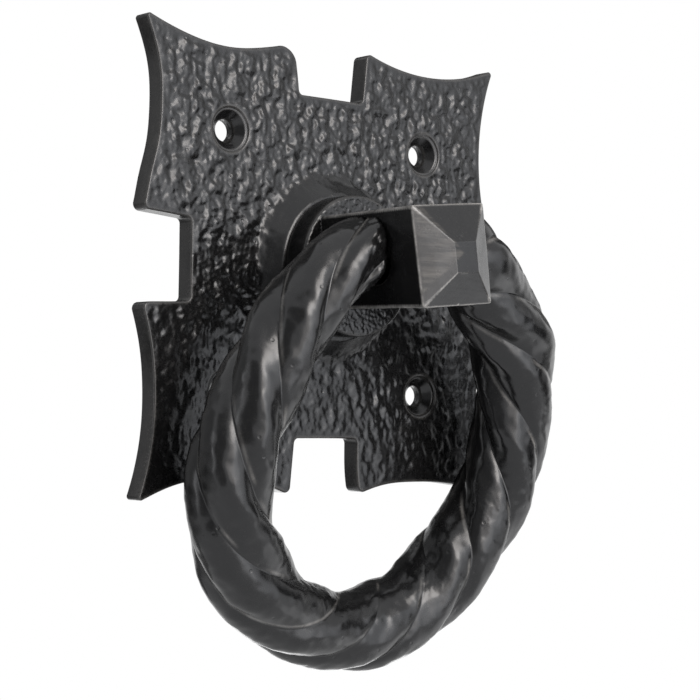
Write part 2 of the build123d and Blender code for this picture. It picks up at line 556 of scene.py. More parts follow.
def new_material(name: str) -> tuple:
    """A new material, the short calls for its nodes, and its shader."""
    material = bpy.data.materials.new(name)
    material.use_nodes = True
    return material, NodeTree(material.node_tree), material.node_tree.nodes["Principled BSDF"]


def geometry_tree(name: str, sizes: list) -> tuple:
    """A geometry tree with one geometry in, one out, and named number inputs.

    Args:
        name: name of the tree.
        sizes: names of the number inputs.

    Returns:
        The tree's short calls, its inputs by name and its outputs.
    """
    tree = bpy.data.node_groups.new(name, "GeometryNodeTree")
    add_sockets(tree, "INPUT", "Geometry", "Geometry")
    add_sockets(tree, "INPUT", "Float", *sizes)
    add_sockets(tree, "INPUT", "Material", "Material")
    add_sockets(tree, "OUTPUT", "Geometry", "Geometry")
    nodes = NodeTree(tree)
    return nodes, nodes.add("NodeGroupInput").outputs, nodes.add("NodeGroupOutput").inputs


def end_tree(nodes: NodeTree, material: Socket, shape: Socket, out: Socket) -> None:
    """Smooth, realize and paint a tree's shape and send it out."""
    smooth = nodes.add("GeometryNodeSetShadeSmooth", {"Geometry": shape})
    real = nodes.add("GeometryNodeRealizeInstances", {"Geometry": smooth.outputs[0]})
    painted = nodes.add("GeometryNodeSetMaterial", {"Geometry": real.outputs[0], "Material": material})
    nodes.feed(out, painted.outputs[0])


def uneven_skin_tree() -> bpy.types.NodeTree:
    """Tree that pushes a cast surface in and out: relief and grain, each where the mesh asks for it."""
    nodes, size, out = geometry_tree("Uneven Skin", [
        "Relief Height", "Relief Size", "Relief Stretch", "Grain Height", "Grain Size", "Shift"])
    position = nodes.add("GeometryNodeInputPosition").outputs[0]
    place = nodes.vector_math("ADD", position, nodes.joined(size["Shift"]))
    stretch = nodes.joined(1.0, 1.0, nodes.math("DIVIDE", 1.0, size["Relief Stretch"]))
    broad = nodes.noise(nodes.vector_math("MULTIPLY", place, stretch), size["Relief Size"], 2.0, 0.45)
    fine = nodes.noise(place, size["Grain Size"], 2.0, 0.55)
    relief = nodes.times(nodes.times(broad, size["Relief Height"]), nodes.stored(Mark.RELIEF))
    grain = nodes.times(nodes.times(fine, size["Grain Height"]), nodes.stored(Mark.GRAIN))
    push = nodes.scaled(nodes.add("GeometryNodeInputNormal").outputs[0], nodes.plus(relief, grain))
    moved = nodes.add("GeometryNodeSetPosition", {"Geometry": size["Geometry"], "Offset": push})
    end_tree(nodes, size["Material"], moved.outputs[0], out[0])
    return nodes.tree


def run_tree(piece: bpy.types.Object, tree: bpy.types.NodeTree, sizes: dict) -> None:
    """Run a geometry tree on a piece and keep the result as its plain mesh.

    Args:
        piece: mesh object that the tree starts from.
        tree: geometry tree.
        sizes: name of each input to its value.
    """
    modifier = piece.modifiers.new(tree.name, "NODES")
    modifier.node_group = tree
    sockets = {item.name: item.identifier for item in tree.interface.items_tree if item.in_out == "INPUT"}
    for name, value in sizes.items():
        modifier[sockets[name]] = value
    graph = bpy.context.evaluated_depsgraph_get()
    made = bpy.data.meshes.new_from_object(piece.evaluated_get(graph), depsgraph=graph)
    piece.modifiers.remove(modifier)
    made.name = piece.name
    piece.data = made


@dataclass(frozen=True)
class PaintFinish:
    """Satin black paint over cast iron, with the texture of one kind of face and pale painted highlights on
    its edges and file streaks.
    """

    name: str
    color: tuple = (0.0045, 0.0045, 0.0048, 1.0)
    worn_color: tuple = (0.012, 0.0115, 0.011, 1.0)
    gloss_color: tuple = (0.96, 0.97, 1.0, 1.0)
    smooth_roughness: float = 0.16
    dull_roughness: float = 0.34
    mottle_size: float = 6.0
    grain_size: float = 0.45
    grain_depth: float = 0.012
    pit_spacing: float = 4.0
    pit_depth: float = 0.05
    streak_depth: float = 0.0
    # Pale colour and share that paint the highlight caught by file streaks
    painted_streak_highlight_color: tuple = (0.15, 0.138, 0.125, 1.0)
    painted_streak_highlight_share: float = 0.0
    # Pale colour and share that paint the highlight caught along outer edges
    painted_edge_highlight_color: tuple = (0.30, 0.29, 0.28, 1.0)
    painted_edge_highlight_share: float = 0.35
    ior: float = 1.5

    def material(self) -> bpy.types.Material:
        """Build the finish as a procedural material."""
        material, nodes, shader = new_material(self.name)
        place = nodes.add("ShaderNodeTexCoord").outputs["Object"]
        mottle = nodes.group("Paint Mottle", paint_mottle, {
            "Place": place, "Size": self.mottle_size * MM}).outputs
        texture = nodes.group("Cast Texture", cast_texture, {
            "Place": place, "Grain Size": self.grain_size * MM, "Grain Depth": self.grain_depth * MM,
            "Pit Spacing": self.pit_spacing * MM, "Pit Depth": self.pit_depth * MM,
            "Streak Depth": self.streak_depth * MM}).outputs
        bump = nodes.add("ShaderNodeBump", {"Height": texture["Height"], "Strength": 1.0, "Distance": 1.0})
        # Painted highlight on the marked file streaks
        painted_streak_highlight = nodes.times(nodes.times(nodes.shown(Mark.STREAK_HIGHLIGHT), texture["Streak"]), self.painted_streak_highlight_share)
        # Painted highlight along the marked outer edges
        painted_edge_highlight = nodes.times(nodes.times(nodes.shown(Mark.EDGE), mottle["Dull"]), self.painted_edge_highlight_share)
        color = nodes.blend(mottle["Wear"], self.color, self.worn_color)
        color = nodes.blend(painted_streak_highlight, color, self.painted_streak_highlight_color)
        color = nodes.blend(painted_edge_highlight, color, self.painted_edge_highlight_color)
        rough = nodes.ramp(mottle["Dull"], 0.0, 1.0, self.smooth_roughness, self.dull_roughness)
        looks = {"Base Color": color, "Roughness": rough, "Normal": bump.outputs[0], "IOR": self.ior,
                 "Specular Tint": self.gloss_color}
        for name, value in looks.items():
            nodes.feed(shader.inputs[name], value)
        return material


def paint_mottle(tree: bpy.types.NodeTree) -> None:
    """Fill a group that says where paint is duller and where it is thin."""
    add_sockets(tree, "INPUT", "Vector", "Place")
    add_sockets(tree, "INPUT", "Float", "Size")
    add_sockets(tree, "OUTPUT", "Float", "Dull", "Wear")
    nodes = NodeTree(tree)
    given, out = nodes.add("NodeGroupInput").outputs, nodes.add("NodeGroupOutput").inputs
    finer, broad_weight, fine_weight = 9.0, 1.4, 0.7
    thin_from, thin_to = 0.05, 0.30
    broad = nodes.noise(given["Place"], given["Size"], 4.0, 0.6)
    fine = nodes.noise(given["Place"], nodes.math("DIVIDE", given["Size"], finer), 3.0, 0.6)
    dull = nodes.plus(nodes.times(broad, broad_weight), nodes.times(fine, fine_weight))
    clear = nodes.add("ShaderNodeClamp", {"Value": nodes.plus(dull, 0.5)})
    nodes.feed(out["Dull"], clear.outputs[0])
    nodes.feed(out["Wear"], nodes.ramp(fine, thin_from, thin_to))


def cast_texture(tree: bpy.types.NodeTree) -> None:
    """Fill a group with the height of grain, pits and file streaks, in metres, and where the streaks get
    their painted highlight.
    """
    add_sockets(tree, "INPUT", "Vector", "Place")
    add_sockets(tree, "INPUT", "Float", "Grain Size", "Grain Depth", "Pit Spacing", "Pit Depth",
                "Streak Depth")
    add_sockets(tree, "OUTPUT", "Float", "Height", "Streak")
    nodes = NodeTree(tree)
    given, out = nodes.add("NodeGroupInput").outputs, nodes.add("NodeGroupOutput").inputs
    pit_middle, pit_rim = 0.06, 0.11
    streak_width, streak_stretch = 1.4 * MM, (0.10, 0.10, 1.0)
    highlight_from, highlight_to = -0.04, 0.24
    grain = nodes.noise(given["Place"], given["Grain Size"], 2.0, 0.5)
    cells = nodes.add("ShaderNodeTexVoronoi", {
        "Vector": given["Place"], "Scale": nodes.math("DIVIDE", 1.0, given["Pit Spacing"])})
    pit = nodes.ramp(cells.outputs["Distance"], pit_middle, pit_rim, -1.0, 0.0)
    drawn_out = nodes.vector_math("MULTIPLY", given["Place"], streak_stretch)
    streak = nodes.noise(drawn_out, streak_width, 3.0, 0.6)
    height = nodes.plus(nodes.times(pit, given["Pit Depth"]), nodes.times(grain, given["Grain Depth"]))
    height = nodes.plus(height, nodes.times(streak, given["Streak Depth"]))
    # Place of the streaks' painted highlight
    nodes.feed(out["Streak"], nodes.ramp(streak, highlight_from, highlight_to))
    nodes.feed(out["Height"], height)


@dataclass(frozen=True)
class SteelFinish:
    """Plain zinc-grey steel with fine turning marks."""

    name: str
    color: tuple = (0.33, 0.33, 0.34, 1.0)
    roughness: float = 0.42
    mark_size: float = 0.6
    mark_depth: float = 0.3

    def material(self) -> bpy.types.Material:
        """Build the finish as a procedural material."""
        material, nodes, shader = new_material(self.name)
        place = nodes.add("ShaderNodeTexCoord").outputs["Object"]
        marks = nodes.noise(place, self.mark_size * MM, 3.0)
        rough = nodes.plus(nodes.times(marks, self.mark_depth), self.roughness)
        nodes.feed(shader.inputs["Roughness"], rough)
        nodes.feed(shader.inputs["Base Color"], self.color)
        nodes.feed(shader.inputs["Metallic"], 1.0)
        return material


@dataclass(frozen=True)
class Nudge:
    """Small shift of the plate's outline about one place, in millimetres."""

    x: float
    y: float
    right: float
    up: float
    spread: float = 5.0


@dataclass
class Backplate:
    """Lobed plate with a raised seat, one casting."""

    size: float = 99.4
    thick: float = 4.7
    tip_reach: float = 1.0
    edge_hollow: float = 3.9
    notch_mouth: float = 20.6
    notch_floor: float = 18.2
    notch_depth: float = 11.9
    corner_round: float = 0.75
    mouth_round: float = 1.4
    soft_mouth_round: float = 3.8
    notch_round: float = 1.2
    edge_round: float = 0.42
    nudges: tuple = (
        Nudge(-48.0, 40.0, 0.7, 0.0, 6.0), Nudge(-49.7, 12.0, -0.35, -0.9, 6.0),
        Nudge(-38.0, 9.1, 0.0, -0.6), Nudge(-49.7, -11.0, -0.35, 0.45), Nudge(-50.0, -50.0, 0.0, -0.6),
        Nudge(-10.3, -49.7, 0.0, -0.5), Nudge(10.3, -49.7, 0.0, -0.5), Nudge(29.0, -46.0, 0.0, -1.5, 9.0),
        Nudge(-10.3, 49.7, -0.4, -0.6), Nudge(10.0, -45.0, -0.8, 0.0), Nudge(-48.0, 17.5, -0.7, 0.0, 4.0),
        Nudge(-28.0, 46.0, 0.0, -0.6, 8.0), Nudge(41.0, -47.0, 0.0, -0.6),
        Nudge(-46.5, -27.0, -0.35, 0.0, 8.0),
    )
    screw_spacing: float = 56.0
    hole_radius: float = 2.4
    sink_radius: float = 4.85
    seat_foot: float = 20.4
    seat_top: float = 16.0
    seat_rise: float = 3.85
    seat_wall: float = 2.8
    recess_radius: float = 13.0
    bore_radius: float = 6.15
    foot_blend: float = 1.3
    foot_rows: int = 9
    flank_rows: int = 10
    crown_start: float = 0.3
    crown_rows: tuple = ((0.08, 0.12), (-0.25, 0.0))
    lip_round: float = 0.35
    lip_shares: tuple = (1.0, 0.6, 0.2, -0.2, -0.6)
    cone_rows: int = 6
    outline_spacing: float = 0.45
    net_spacing: float = 0.40
    back_spacing: float = 6.0
    sink_count: int = 96
    seat_count: int = 336
    relief_height: float = 1.80
    relief_size: float = 1.9
    relief_stretch: float = 1.3
    grain_height: float = 0.40
    grain_size: float = 0.7
    # Where pebbles, grain and the painted edge highlight fade: the start of a fade and its length, or its
    # length alone
    edge_fade: tuple = (0.4, 1.6)
    hole_fade: tuple = (0.3, 1.0)
    seat_fade: tuple = (2.0, 3.5)
    tip_fade: tuple = (36.0, 12.0)
    lower_fade: tuple = (-2.0, 20.0)
    face_fade: float = 0.3
    highlight_fade: float = 2.0
    # Share of the pebbles' height that the tips, the lower half and the coarse place lose and the seat keeps
    tip_loss: float = 0.30
    lower_loss: float = 0.45
    coarse_loss: float = 0.35
    seat_keep: float = 0.12
    # Coarse place left of the seat, and how granular it, the seat's foot and the rest of the field are
    coarse_place: tuple = (-20.0, 4.0)
    coarse_spread: float = 13.0
    coarse_grain: float = 0.8
    foot_spread: float = 1.1314
    foot_grain: float = 0.7
    field_grain: float = 0.10
    # Light share of painted highlight on the plate's edges
    finish: PaintFinish = PaintFinish(
        "pebbled_black_paint", smooth_roughness=0.17, dull_roughness=0.36, mottle_size=5.0, painted_edge_highlight_share=0.20)

    def outline(self) -> np.ndarray:
        """Closed outline of the plate, corners rounded."""
        half = self.size / 2
        tip = half + self.tip_reach
        mouth, floor = self.notch_mouth / 2, self.notch_floor / 2
        deep = half - self.notch_depth
        arc_middle, arc_height = (tip + mouth) / 2, (tip + half) / 2 - self.edge_hollow
        step = self.outline_spacing
        side = [
            arc_run((-tip, tip), (-arc_middle, arc_height), (-mouth, half), step),
            line_run((-mouth, half), (-floor, deep), step),
            line_run((-floor, deep), (floor, deep), step),
            line_run((floor, deep), (mouth, half), step),
            arc_run((mouth, half), (arc_middle, arc_height), (tip, tip), step),
        ]
        quarter_turn = np.array([[0, -1], [1, 0]])
        runs, rounds = [], []
        for turn in range(4):
            runs += side
            side = [run @ quarter_turn for run in side]
            first_mouth = self.mouth_round if turn else self.soft_mouth_round
            rounds += [self.corner_round, first_mouth, self.notch_round, self.notch_round, self.mouth_round]
        line = rounded_line(runs, rounds, step / 4, closed=True)
        shift = np.zeros_like(line)
        for nudge in self.nudges:
            away = np.hypot(line[:, 0] - nudge.x, line[:, 1] - nudge.y)
            shift += hump(away, nudge.spread)[:, None] * np.array([nudge.right, nudge.up])
        return line + shift

    def seat_profile(self) -> list:
        """Radius and height of each row of the seat, from the plate's field in to the recess behind it."""
        top = self.thick + self.seat_rise
        ceiling = top - self.seat_wall
        tilt = self.seat_rise / (self.seat_foot - self.seat_top)
        foot = [(self.seat_foot - self.foot_blend * share,
                 self.thick + tilt * self.foot_blend * (1.0 + share) ** 2 / 4.0)
                for share in np.linspace(-1.0, 1.0, self.foot_rows)]
        flank_foot, flank_top = self.seat_foot - self.foot_blend, self.seat_top + self.crown_start
        flank = [(radius, self.thick + tilt * (self.seat_foot - radius))
                 for radius in np.linspace(flank_foot, flank_top, self.flank_rows)[1:]]
        crown = [(self.seat_top + out, top - down) for out, down in self.crown_rows]
        back = [(self.bore_radius, top), (self.bore_radius, ceiling), (self.recess_radius, ceiling),
                (self.recess_radius, 0.0)]
        return foot + flank + crown + back

    def sink_profile(self) -> list:
        """Radius and height of each row of a countersunk hole, from the plate's field through to its back."""
        lip = self.lip_round
        floor = self.thick - (self.sink_radius - self.hole_radius)
        rim = [(self.sink_radius + lip * share, self.thick - lip * (1.0 - share) ** 2 / 2.0)
               for share in self.lip_shares]
        cone = [(radius, self.thick - (self.sink_radius - radius))
                for radius in np.linspace(self.sink_radius - lip, self.hole_radius, self.cone_rows)]
        return rim + cone + [(self.hole_radius, floor / 2), (self.hole_radius, 0.0)]

    def build(self) -> bpy.types.Object:
        """Make the plate's mesh: pebbled front, rounded edges, plain back with its recess and bore."""
        skin = Skin()
        outline = self.outline()
        edge = quarter_round(self.edge_round)
        rows = [at_height(inset_loop(outline, inset), height) for inset, height in edge[::-1]]
        rows += [at_height(inset_loop(outline, inset), self.thick - height) for inset, height in edge]
        skin.strip(rows)
        half = self.screw_spacing / 2
        turned = []
        for centre in ((-half, -half), (-half, half), (half, -half), (half, half)):
            turned.append(lathe_rows(self.sink_profile(), self.sink_count, centre))
        turned.insert(0, lathe_rows(self.seat_profile(), self.seat_count))
        for hole in turned:
            skin.strip(hole)
        for end, spacing, height in ((0, self.net_spacing, self.thick), (-1, self.back_spacing, 0.0)):
            holes = [hole[end][:, :2] for hole in turned]
            skin.panel(rows[-1 - end][:, :2], holes, spacing, lambda flat: at_height(flat, height))
        piece = skin.to_object("pebbled_backplate")
        self.mark(piece.data, outline)
        run_tree(piece, bpy.data.node_groups["Uneven Skin"], {
            "Relief Height": self.relief_height * MM, "Relief Size": self.relief_size * MM,
            "Relief Stretch": self.relief_stretch, "Grain Height": self.grain_height * MM,
            "Grain Size": self.grain_size * MM, "Shift": 0.0, "Material": self.finish.material()})
        flatten_back(piece.data)
        return piece

    def mark(self, mesh: bpy.types.Mesh, outline: np.ndarray) -> None:
        """Say where the front is pebbled, where it is rough and where its edges get a painted highlight."""
        x, y, z = drawn_points(mesh)
        tree = point_tree(outline)
        to_edge = np.array([tree.find((*place, 0.0))[2] for place in zip(x, y)])
        reach = np.hypot(x, y)
        half = self.screw_spacing / 2
        to_hole = np.hypot(np.abs(x) - half, np.abs(y) - half) - self.sink_radius
        front = fade(z, self.thick - self.face_fade, self.face_fade)
        open_field = fade(to_edge, *self.edge_fade) * fade(to_hole, *self.hole_fade) * front
        off_seat = fade(reach - self.seat_top, *self.seat_fade)
        tip = fade(np.maximum(np.abs(x), np.abs(y)), *self.tip_fade)
        lower = fade(-y, *self.lower_fade)
        coarse = hump(np.hypot(x - self.coarse_place[0], y - self.coarse_place[1]), self.coarse_spread)
        pebbled = self.seat_keep + (1.0 - self.seat_keep) * off_seat
        for loss, where in ((self.tip_loss, tip), (self.lower_loss, lower), (self.coarse_loss, coarse)):
            pebbled = pebbled * (1.0 - loss * where)
        set_mark(mesh, Mark.RELIEF, open_field * pebbled)
        foot = hump(reach - self.seat_foot, self.foot_spread)
        rough = np.clip(self.field_grain + self.coarse_grain * coarse + self.foot_grain * foot, 0.0, 1.0)
        set_mark(mesh, Mark.GRAIN, open_field * rough * off_seat)
        # Painted highlight on the outer edges, kept off the back and the seat
        off_back = fade(z, self.edge_round / 2, self.edge_round)
        keep_edge_highlight(mesh, fade(reach, self.seat_foot, self.highlight_fade) * off_back)

    def dress(self) -> None:
        """Build the plate and put it on its body."""
        piece = self.build()
        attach(piece, "plate")
        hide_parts("backplate")
        LOG.info("%s: %d faces", piece.name, len(piece.data.polygons))


@dataclass
class HippedPost:
    """Flange, square block with a hipped end, cross bore and riveted shank, one casting."""

    seat_top: float = 8.55
    end_float: float = 0.15
    flange_radius: float = 15.5
    flange_thick: float = 6.0
    flange_round: float = 0.7
    block_half: float = 10.0
    block_length: float = 30.0
    block_rise: float = 1.0
    block_round: float = 0.36
    block_crown: float = 0.05
    hip_rise: float = 3.22
    hip_top_half: float = 3.0
    hip_shift: tuple = (0.85, -0.6)
    skew_left_top: tuple = (-1.2, 0.2)
    skew_right_top: tuple = (-0.8, 0.4)
    skew_right_foot: tuple = (0.0, -0.7)
    skew_left_foot: tuple = (0.4, -0.7)
    eave_round: float = 0.32
    ridge_round: float = 0.35
    bore_radius: float = 5.2
    bore_reach: float = 31.35
    shank_radius: float = 6.0
    seat_wall: float = 2.8
    washer_thick: float = 1.5
    head_radius: float = 7.6
    head_thick: float = 1.8
    head_round: float = 1.2
    turn: float = 5.5
    net_spacing: float = 0.4
    flange_spacing: float = 0.32
    # Steps along the block's profile and round its bends, its run on top, and a guide's least kink and climb
    profile_step: float = 0.5
    bend_step: float = 0.1
    top_run: float = 0.6
    kink: float = 1e-4
    first_guide: float = 1.0
    # Points round the bore and the flange, and rows along the bore and the flange's side
    bore_count: int = 72
    rim_count: int = 240
    bore_rows: int = 13
    side_rows: int = 12
    relief_height: float = 0.30
    relief_size: float = 8.0
    grain_height: float = 0.50
    grain_size: float = 0.62
    noise_shift: float = 0.5
    # Where relief, grain, the painted streak highlight and the painted ridge highlight fade: the start of a
    # fade and its length, or its length alone
    block_fade: tuple = (0.3, 1.0)
    hip_fade: tuple = (0.5, 0.5)
    streak_highlight_fade: float = 0.4
    facet_fade: float = 1.0
    flange_spread: float = 0.17678
    bore_margin: float = 0.4
    # Right and upper limit of the hip's ridges that keep the full painted highlight, and the share of painted
    # highlight on the flange and the other ridges
    highlight_ridges: tuple = (-1.0, 2.0)
    flange_highlight: float = 0.10
    ridge_highlight: float = 0.15
    # Strong painted highlight along the block's edges and pale painted highlight streaks on the left hip
    # facet
    finish: PaintFinish = PaintFinish(
        "filed_black_paint", pit_spacing=6.0, streak_depth=0.03, painted_streak_highlight_share=0.5,
        painted_edge_highlight_color=(0.42, 0.41, 0.40, 1.0), painted_edge_highlight_share=1.0)

    def around_block(self, travel: np.ndarray, half: np.ndarray) -> np.ndarray:
        """Points of a rounded square, by the travel along the full-size square from its bottom middle."""
        straight = self.block_half - self.block_round
        bend = self.block_round * math.pi / 2
        quarter = 2 * straight + bend
        shifted = travel + straight
        side = np.floor(shifted / quarter)
        within = shifted - side * quarter
        angle = np.clip((within - 2 * straight) / bend, 0.0, 1.0) * math.pi / 2
        along = np.minimum(within, 2 * straight) - straight
        crown = self.block_crown * np.cos(0.5 * math.pi * along / straight)
        x = along + self.block_round * np.sin(angle)
        y = -straight - self.block_round * np.cos(angle) - crown
        spin = side * math.pi / 2
        scale = half / self.block_half
        shift = (1.0 - scale) / (1.0 - self.hip_top_half / self.block_half)
        return np.column_stack([
            scale * (x * np.cos(spin) - y * np.sin(spin)) + shift * self.hip_shift[0],
            scale * (x * np.sin(spin) + y * np.cos(spin)) + shift * self.hip_shift[1] + self.block_rise])

    def skew(self, section: np.ndarray) -> np.ndarray:
        """How far each point of the block's front end stands from a true square."""
        across = np.clip(section[:, :1] / (2 * self.block_half) + 0.5, 0.0, 1.0)
        up = np.clip((section[:, 1:] - self.block_rise) / (2 * self.block_half) + 0.5, 0.0, 1.0)
        top = (1 - across) * np.array(self.skew_left_top) + across * np.array(self.skew_right_top)
        foot = (1 - across) * np.array(self.skew_left_foot) + across * np.array(self.skew_right_foot)
        return up * top + (1 - up) * foot

    def build(self) -> bpy.types.Object:
        """Make the post's mesh as one closed skin."""
        skin = Skin()
        back = self.seat_top + self.end_float
        front = back + self.flange_thick
        eave = front + self.block_length
        top = eave + self.hip_rise
        profile = rounded_line([
            line_run((self.block_half, front), (self.block_half, eave), self.profile_step),
            line_run((self.block_half, eave), (self.hip_top_half, top), self.profile_step),
            line_run((self.hip_top_half, top), (self.hip_top_half - self.top_run, top), self.top_run / 2),
        ], [0.0, self.eave_round, self.ridge_round], self.bend_step, closed=False)
        climb = travel_along(profile)

        def wrap(flat: np.ndarray) -> np.ndarray:
            """Points of a flat sheet laid round the block."""
            half = np.interp(flat[:, 1], climb, profile[:, 0])
            height = np.interp(flat[:, 1], climb, profile[:, 1])
            section = self.around_block(flat[:, 0], half)
            growth = np.clip((height - front) / self.block_length, 0.0, 1.0)
            return np.column_stack([section + self.skew(section) * growth[:, None], height])

        def level_row(places: np.ndarray, level: float) -> np.ndarray:
            """Points of the sheet at one level."""
            return np.column_stack([places, np.full(len(places), level)])

        quarter = 2 * (self.block_half - self.block_round) + self.block_round * math.pi / 2
        girth = 4 * quarter
        travel = np.linspace(0.0, girth, 4 * math.ceil(girth / self.net_spacing / 4) + 1)
        levels = np.linspace(0.0, climb[-1], math.ceil(climb[-1] / self.net_spacing) + 1)
        sheet = np.concatenate([
            level_row(travel, 0.0),
            np.column_stack([np.full(len(levels) - 1, girth), levels[1:]]),
            level_row(travel[-2::-1], climb[-1]),
            np.column_stack([np.zeros(len(levels) - 2), levels[-2:0:-1]]),
        ])
        bends = climb[np.abs(np.gradient(np.gradient(profile[:, 0]))) > self.kink]
        guides = [level_row(travel[1:-1], level) for level in bends if self.first_guide < level < climb[-1]]
        ring = circle_loop(self.bore_radius, self.bore_count, (0.0, self.bore_reach - front))
        right_hole = ring + np.array([quarter, 0.0])
        left_hole = ring * np.array([-1.0, 1.0]) + np.array([3 * quarter, 0.0])
        skin.panel(sheet, [right_hole, left_hole], self.net_spacing, wrap, guides)
        right_rim, left_rim = wrap(right_hole), wrap(left_hole)
        shares = np.linspace(0.0, 1.0, self.bore_rows)
        skin.strip([right_rim + (left_rim - right_rim) * share for share in shares])
        tip, foot = (wrap(level_row(travel[:-1], level))[:, :2] for level in (climb[-1], 0.0))
        skin.panel(tip, [], self.net_spacing, lambda flat: at_height(flat, profile[-1, 1]))
        rim = circle_loop(self.flange_radius - self.flange_round, self.rim_count)
        skin.panel(rim, [foot], self.flange_spacing, lambda flat: at_height(flat, front))
        turned = lathe_rows(self.lathe_profile(back, front), self.rim_count)
        skin.strip(turned)
        skin.close(turned[-1])
        spin = Matrix.Rotation(math.radians(self.turn), 3, "Z")
        skin.points = [points @ np.array(spin).T for points in skin.points]
        piece = skin.to_object("hipped_post")
        self.mark(piece.data, front)
        run_tree(piece, bpy.data.node_groups["Uneven Skin"], {
            "Relief Height": self.relief_height * MM, "Relief Size": self.relief_size * MM,
            "Relief Stretch": 1.0, "Grain Height": self.grain_height * MM, "Grain Size": self.grain_size * MM,
            "Shift": self.noise_shift, "Material": self.finish.material()})
        return piece

    def lathe_profile(self, back: float, front: float) -> list:
        """Radius and height of each turned edge, from the flange's front rim to the riveted end's middle."""
        washer_back = self.seat_top - self.seat_wall - self.end_float - self.washer_thick
        head_back = washer_back - self.head_thick
        rim = [(self.flange_radius - down, front - inward)
               for inward, down in quarter_round(self.flange_round)]
        side = [(self.flange_radius, height)
                for height in np.linspace(front - self.flange_round, back, self.side_rows)[1:]]
        shank = [(self.shank_radius, back), (self.shank_radius, washer_back), (self.head_radius, washer_back)]
        head = [(self.head_radius - inward, head_back + down)
                for inward, down in quarter_round(self.head_round)]
        return rim + side + shank + head + [(self.shank_radius / 2, head_back)]

    def mark(self, mesh: bpy.types.Mesh, front: float) -> None:
        """Say where the post is uneven and granular, where its left hip facet gets painted highlight streaks
        and where its edges get a painted highlight.
        """
        x, y, z = drawn_points(mesh)
        turn = math.radians(self.turn)
        upward = y * math.cos(turn) - x * math.sin(turn) - self.block_rise
        in_bore = np.hypot(upward, z - self.bore_reach) < self.bore_radius + self.bore_margin
        on_block = fade(z - front, *self.block_fade) * ~in_bore
        set_mark(mesh, Mark.RELIEF, on_block)
        set_mark(mesh, Mark.GRAIN, hump(z - front, self.flange_spread))
        past_eave = z - front - self.block_length
        # Pale painted highlight streaks on the lit left hip facet only
        left_facet = fade(-x - np.abs(y - self.block_rise), 0.0, self.facet_fade)
        set_mark(mesh, Mark.STREAK_HIGHLIGHT, fade(past_eave, 0.0, self.streak_highlight_fade) * left_facet)
        # Painted edge highlight: full on the block and its lower-left hip ridges, a little on the flange and
        # the other ridges
        highlight_ridges = (x < self.highlight_ridges[0]) & (y < self.highlight_ridges[1])
        painted_edge_highlight = self.flange_highlight + (1.0 - self.flange_highlight) * on_block
        painted_edge_highlight = painted_edge_highlight * (1.0 - (1.0 - self.ridge_highlight) * fade(past_eave, *self.hip_fade) * ~highlight_ridges)
        keep_edge_highlight(mesh, painted_edge_highlight)

    def dress(self) -> None:
        """Build the post and put it on its body."""
        piece = self.build()
        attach(piece, "swivel")
        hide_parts("post")
        LOG.info("%s: %d faces", piece.name, len(piece.data.polygons))


@dataclass(frozen=True)
class Scuff:
    """Granular patch on the ring, by its place round the oval and round the bundle of strands, in degrees."""

    clock: float
    side: float
    spread: float


@dataclass(frozen=True)
class Swell:
    """Place round the oval, in degrees, where the ring is thicker outside or inside, in millimetres."""

    clock: float
    outer: float
    inner: float = 0.0
    spread: float = 9.0


